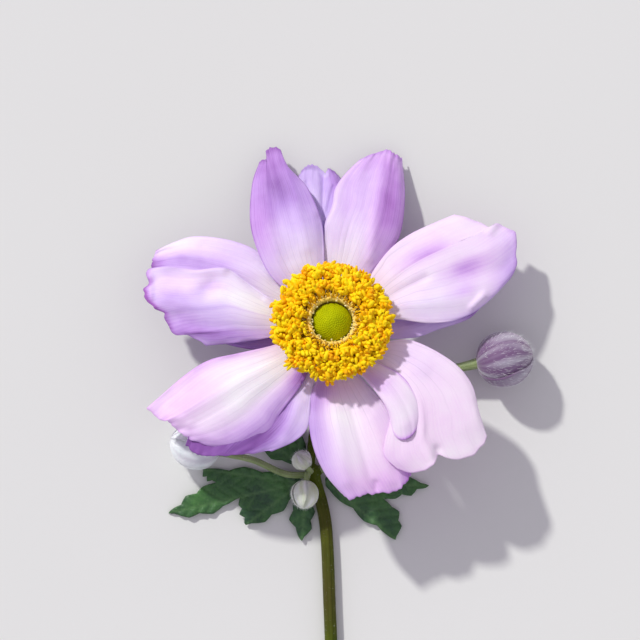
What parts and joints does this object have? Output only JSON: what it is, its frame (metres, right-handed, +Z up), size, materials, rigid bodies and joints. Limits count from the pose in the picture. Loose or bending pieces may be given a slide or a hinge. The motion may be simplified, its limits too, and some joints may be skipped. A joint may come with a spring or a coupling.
{
  "type": "japanese anemone flower",
  "caption": "Open japanese anemone flower with lilac petals, golden stamens, green centre, buds, leafy bracts and a cut stem, lying face up.",
  "frame": {"origin": "on the surface that the flower lies on, under the middle of its bounding box", "axes": "+Z up, the way the flower faces; -Y along the stem towards its cut end; +X to the flower's right as seen from above"},
  "size_m": [0.0724, 0.1192, 0.0222],
  "materials": {
    "petal": "soft, silky, thin lilac petal, whiter at the middle, with fine veins",
    "stamen": "matte golden yellow anthers on pale filaments",
    "carpel": "soft yellow-green, closely studded",
    "stem": "satin brown-green plant stem with fine hairs",
    "bract": "dull dark green leaf with sunk veins",
    "bud_pale": "silky silver-white hairs over pale green",
    "bud_mauve": "silky silver hairs over mauve"
  },
  "bodies": {
    "root": {"petal_top_left": "petal", "petal_top_right": "petal", "petal_top_back": "petal", "petal_right": "petal", "petal_right_back": "petal", "petal_lower_right": "petal", "petal_small": "petal", "petal_bottom": "petal", "petal_lower_left": "petal", "petal_lower_left_back": "petal", "petal_left": "petal", "petal_upper_left": "petal", "petal_left_back": "petal", "stamens": "stamen", "carpel_head": "carpel", "stem": "stem", "bract_left": "bract", "bract_right": "bract", "bract_back": "bract", "bract_small": "bract", "bud_left": "bud_pale", "bud_right": "bud_mauve", "bud_small_upper": "bud_pale", "bud_small_lower": "bud_pale"}
  },
  "joints": []
}
